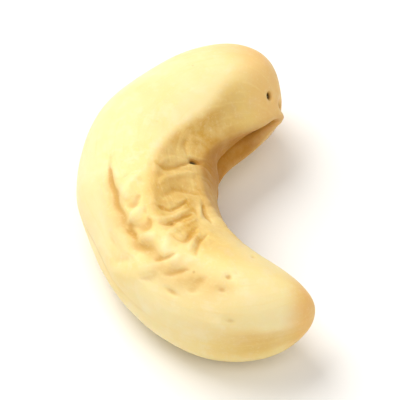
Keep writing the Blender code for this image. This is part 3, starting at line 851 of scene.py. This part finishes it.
def cream(graph, blotch, mottle, streaks):
    """The flesh's colour with the tints of its sides and ends, partly painted shade and light, before its
    creases.
    """
    colour = graph.mix(graph.ramp(blotch, *DEEP_REACH), CREAM, CREAM_DEEP)
    colour = graph.mix(graph.times(graph.ramp(mottle, *MOTTLE_REACH), MOTTLE_STRENGTH), colour, CREAM_PALE)
    # Partly painted light: the pale of the upper side, the rim and the front.
    colour = graph.mix(graph.times(graph.attribute("pale_powder_and_light"), PALE_STRENGTH), colour, CREAM_PALE)
    # Partly painted shade: the tan of the slope.
    colour = graph.tint("hollow_tan_and_shade", mottle, TAN_STRENGTH, SLOPE_TAN_AND_SHADE, colour)
    # Partly painted shade: the rose of the ends.
    colour = graph.tint("tip_rose_and_shade", blotch, ROSE_STRENGTH, TIP_ROSE_AND_SHADE, colour)
    # Painted shade on the flatter wall.
    colour = graph.tint("wall", blotch, WALL_SHADE_STRENGTH, WALL_PAINTED_SHADE, colour)
    return graph.mix(graph.ramp(streaks, *STREAK_REACH, 0.0, STREAK_STRENGTH), colour, CREAM_DEEP)


def with_creases(graph, colour, crease, in_crease, mottle):
    """Lays over a colour the pale of the folds, partly powder and partly painted highlight, the brown of the
    creases and the cleft, partly their own colour and partly painted shade, and painted shade in the pits.
    """
    tan_and_shade = graph.attribute("hollow_tan_and_shade")
    # Folds paler: partly powder, partly painted highlight.
    fold_highlight_and_powder = graph.ramp(graph.times(crease, -1.0), *FOLD_TINT)
    paler = graph.ramp(tan_and_shade, 0.0, 1.0, *FOLD_STRENGTH)
    colour = graph.mix(graph.times(fold_highlight_and_powder, paler), colour, CREAM_PALE)
    # Creases browner: partly the flesh's own tan, partly painted shade.
    brown = graph.mix(tan_and_shade, CREASE_TAN_AND_SHADE, CREASE_BROWN_AND_SHADE)
    colour = graph.mix(graph.times(in_crease, CREASE_STRENGTH), colour, brown)
    # The cleft's brown, partly its own colour and partly painted shade.
    colour = graph.tint("cleft", mottle, CLEFT_STRENGTH, CLEFT_BROWN_AND_SHADE, colour)
    # Painted shade in the pits and the pinhole.
    colour = graph.mix(graph.ramp(crease, *PIT_TINT), colour, PIT_SHADE_AND_SPECK_BROWN)
    return graph.mix(graph.ramp(crease, *HOLE_TINT), colour, HOLE_PAINTED_SHADE)


def with_powder(graph, colour, place, powder):
    """Lays pale powder and small dark specks over a colour."""
    dust = graph.ramp(graph.attribute("cleft"), 0.0, POWDER_CLEFT, *POWDER_STRENGTH)
    colour = graph.mix(graph.times(graph.ramp(powder, *POWDER_REACH), dust), colour, CREAM_PALE)
    away, drawn = graph.cells(place, SPECK_CELLS)
    speck = graph.times(graph.ramp(away, *SPECK_REACH), graph.math("GREATER_THAN", drawn, SPECK_EMPTY))
    return graph.mix(graph.times(speck, SPECK_STRENGTH), colour, PIT_SHADE_AND_SPECK_BROWN)


def flesh():
    """Cream flesh: paler where it stands out and on its lit sides, partly powder and partly painted light;
    tan on the hollow side and brown in its creases, partly their own colour and partly painted shade.
    """
    graph = Graph("kernel_flesh_skin")
    place = graph.millimetres()
    blotch = graph.noise(place, BLOTCH_WAVES, BLOTCH_LAYERS)
    mottle = graph.noise(place, MOTTLE_WAVES, MOTTLE_LAYERS)
    powder = graph.noise(place, POWDER_WAVES, POWDER_LAYERS)
    streaks = graph.noise(graph.lengthwise(*STREAK_WAVES), 1.0, STREAK_LAYERS, STREAK_BENT)
    crease = graph.attribute("crease")
    in_crease = graph.ramp(crease, *CREASE_TINT)

    colour = cream(graph, blotch, mottle, streaks)
    colour = with_creases(graph, colour, crease, in_crease, mottle)
    colour = with_powder(graph, colour, place, powder)
    graph.put(graph.shader.inputs["Base Color"], colour)

    rough = graph.ramp(powder, *NOISE_REACH, *ROUGHNESS)
    rough = graph.math("ADD", rough, graph.times(in_crease, CREASE_ROUGHNESS), clamp=True)
    graph.put(graph.shader.inputs["Roughness"], rough)

    uneven = graph.bump(mottle, *MOTTLE_BUMP)
    uneven = graph.bump(streaks, *STREAK_BUMP, uneven)
    graph.put(graph.shader.inputs["Normal"], graph.bump(powder, *POWDER_BUMP, uneven))
    graph.settle(FLESH_SETTINGS)
    return graph.material


def floor():
    """A pale floor for the picture, which isn't part of the object."""
    half = FLOOR_SIDE / 2
    corners = [(-half, -half, 0), (half, -half, 0), (half, half, 0), (-half, half, 0)]
    mesh = bpy.data.meshes.new("pale_floor")
    mesh.from_pydata(corners, [], [(0, 1, 2, 3)])
    sheet = bpy.data.objects.new("pale_floor", mesh)
    bpy.context.scene.collection.objects.link(sheet)
    graph = Graph("pale_floor")
    graph.settle(FLOOR_SETTINGS)
    mesh.materials.append(graph.material)


def aimed(thing, direction, distance, target):
    """Puts a light or a camera at a distance from the target, looking at it."""
    away = Vector(direction).normalized()
    thing.location = Vector(target) + away * distance
    thing.rotation_euler = away.to_track_quat("Z", "Y").to_euler()
    bpy.context.scene.collection.objects.link(thing)


def area_light(name, direction, distance, size, power, colour):
    """A square lamp that shines on the kernel from a direction."""
    lamp = bpy.data.lights.new(name, "AREA")
    lamp.size = size
    lamp.energy = power
    lamp.color = colour
    aimed(bpy.data.objects.new(name, lamp), direction, distance, AIM)


def studio():
    """A large soft light from behind on the left, a weaker one from the front, and a white room."""
    area_light("key", KEY_DIRECTION, KEY_DISTANCE, KEY_SIZE, KEY_POWER, KEY_COLOUR)
    area_light("fill", FILL_DIRECTION, FILL_DISTANCE, FILL_SIZE, FILL_POWER, FILL_COLOUR)
    world = bpy.data.worlds.new("white_room")
    world.use_nodes = True
    sky = world.node_tree.nodes["Background"]
    sky.inputs["Color"].default_value = SKY_COLOUR
    sky.inputs["Strength"].default_value = SKY_STRENGTH
    bpy.context.scene.world = world
    bpy.context.scene.view_settings.view_transform = "Standard"


def camera():
    """The photo's view: from the front and above, through a long lens."""
    lens = bpy.data.cameras.new("camera")
    lens.sensor_width = SENSOR
    lens.lens = SENSOR * CAMERA_DISTANCE / FRAME_WIDTH
    lens.clip_start = NEAREST
    lens.clip_end = FARTHEST
    seen_from = math.radians(CAMERA_ELEVATION)
    eye = bpy.data.objects.new("camera", lens)
    aimed(eye, (0, -math.cos(seen_from), math.sin(seen_from)), CAMERA_DISTANCE, AIM)
    bpy.context.scene.camera = eye


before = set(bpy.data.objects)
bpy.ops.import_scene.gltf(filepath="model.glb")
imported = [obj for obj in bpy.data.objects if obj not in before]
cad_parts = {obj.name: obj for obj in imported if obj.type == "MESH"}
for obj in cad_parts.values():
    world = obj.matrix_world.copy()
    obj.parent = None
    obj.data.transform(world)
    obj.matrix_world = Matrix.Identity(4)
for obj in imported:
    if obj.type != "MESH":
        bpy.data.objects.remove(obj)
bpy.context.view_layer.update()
kernel = skinned("kernel_skin", *fine_kernel())
kernel.data.materials.append(flesh())
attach(kernel, "root")
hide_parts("kernel")
floor()
studio()
camera()
